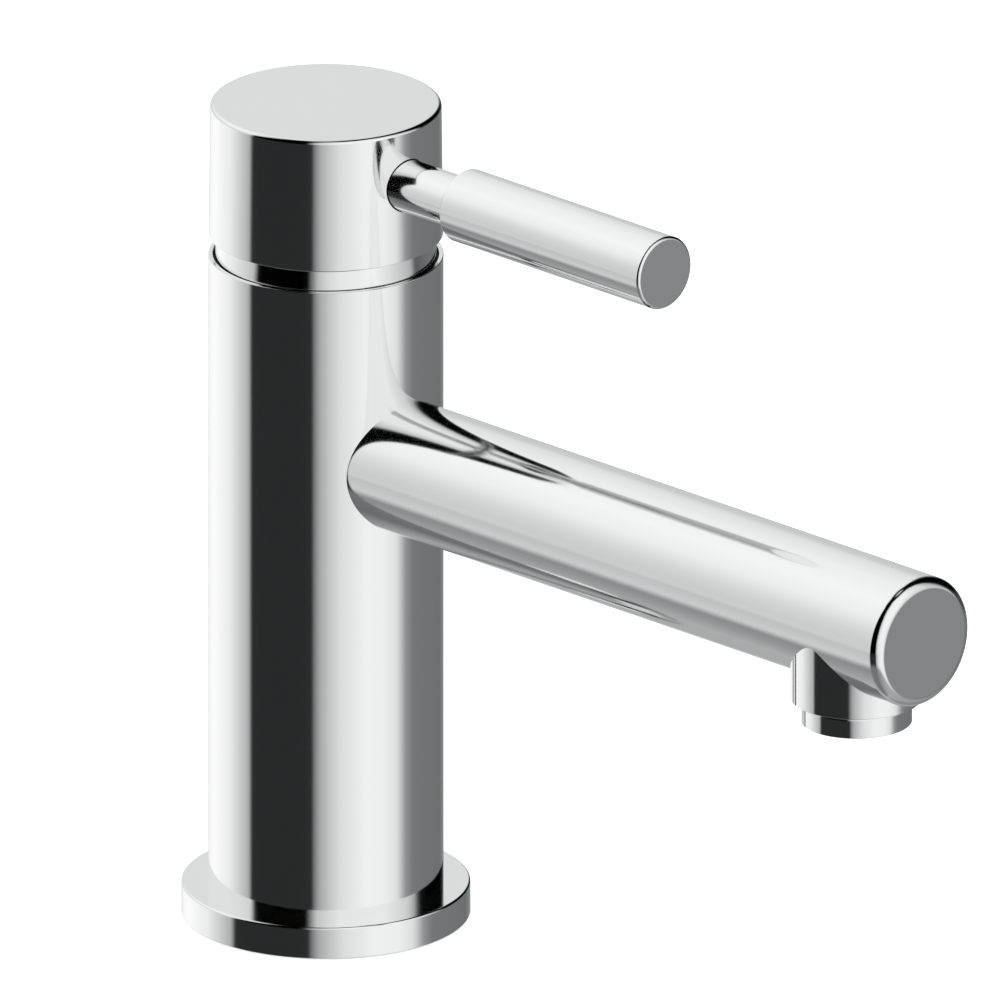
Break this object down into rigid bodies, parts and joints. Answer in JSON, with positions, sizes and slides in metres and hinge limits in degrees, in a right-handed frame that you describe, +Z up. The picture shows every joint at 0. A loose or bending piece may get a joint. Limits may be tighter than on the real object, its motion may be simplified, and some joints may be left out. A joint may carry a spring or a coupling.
{
  "type": "bathroom mixer faucet",
  "caption": "Deck-mounted single-lever basin mixer: round column on a low base ring, straight level spout with aerator, round cap with a pin lever, all polished chrome.",
  "frame": {"origin": "centre of the base ring's underside, on the deck", "axes": "+Z up along the column's axis; the spout and the lever point along -Y, towards the user; +X to the user's right"},
  "size_m": [0.054, 0.1851, 0.1604],
  "materials": {
    "polished_chrome": "polished",
    "raw_brass": "satin",
    "black_rubber": "matte",
    "grey_plastic": "satin",
    "white_plastic": "satin",
    "alumina": "satin",
    "stainless_steel": "satin"
  },
  "bodies": {
    "body": {"base_ring": "polished_chrome", "base_seal": "black_rubber", "foot_plate": "raw_brass", "supply_tube_hot": "raw_brass", "supply_tube_cold": "raw_brass", "valve_body": "raw_brass", "column_sleeve": "polished_chrome", "spout_tube": "polished_chrome", "spout_end_cap": "polished_chrome", "spout_nipple": "raw_brass", "nipple_o_rings": "black_rubber", "outlet_collar": "polished_chrome", "aerator_housing": "polished_chrome", "aerator_gasket": "black_rubber", "aerator_insert": "white_plastic", "aerator_screen": "stainless_steel", "flow_regulator": "white_plastic", "port_gasket": "black_rubber", "cartridge_base": "grey_plastic", "disc_seal": "black_rubber", "fixed_disc": "alumina", "cartridge_housing": "grey_plastic", "stop_ring": "white_plastic", "cartridge_nut": "raw_brass", "bonnet": "polished_chrome", "bonnet_seal": "black_rubber"},
    "rotor": {"cartridge_rotor": "white_plastic", "pivot_pin": "stainless_steel"},
    "disc_slide": {"disc_carrier": "white_plastic", "moving_disc": "alumina"},
    "handle": {"spindle": "stainless_steel", "handle_hub": "raw_brass", "hub_screw": "stainless_steel", "handle_cap": "polished_chrome", "lever_neck": "polished_chrome", "lever_grip": "polished_chrome"}
  },
  "joints": [
    {"name": "temperature", "type": "hinge", "parent": "body", "child": "rotor", "pos_m": [0, 0, 0.1215], "axis": [0, 0, 1], "range_deg": [-45, 45]},
    {"name": "lift", "type": "hinge", "parent": "rotor", "child": "handle", "pos_m": [0, 0, 0.1215], "axis": [-1, 0, 0], "range_deg": [0, 25]},
    {"name": "disc_travel", "type": "slide", "parent": "rotor", "child": "disc_slide", "axis": [0, -1, 0], "range_m": [0, 0.0033]}
  ],
  "couplings": [
    {"joint": "disc_travel", "follows": "lift", "m_per_rad": 0.0075}
  ]
}
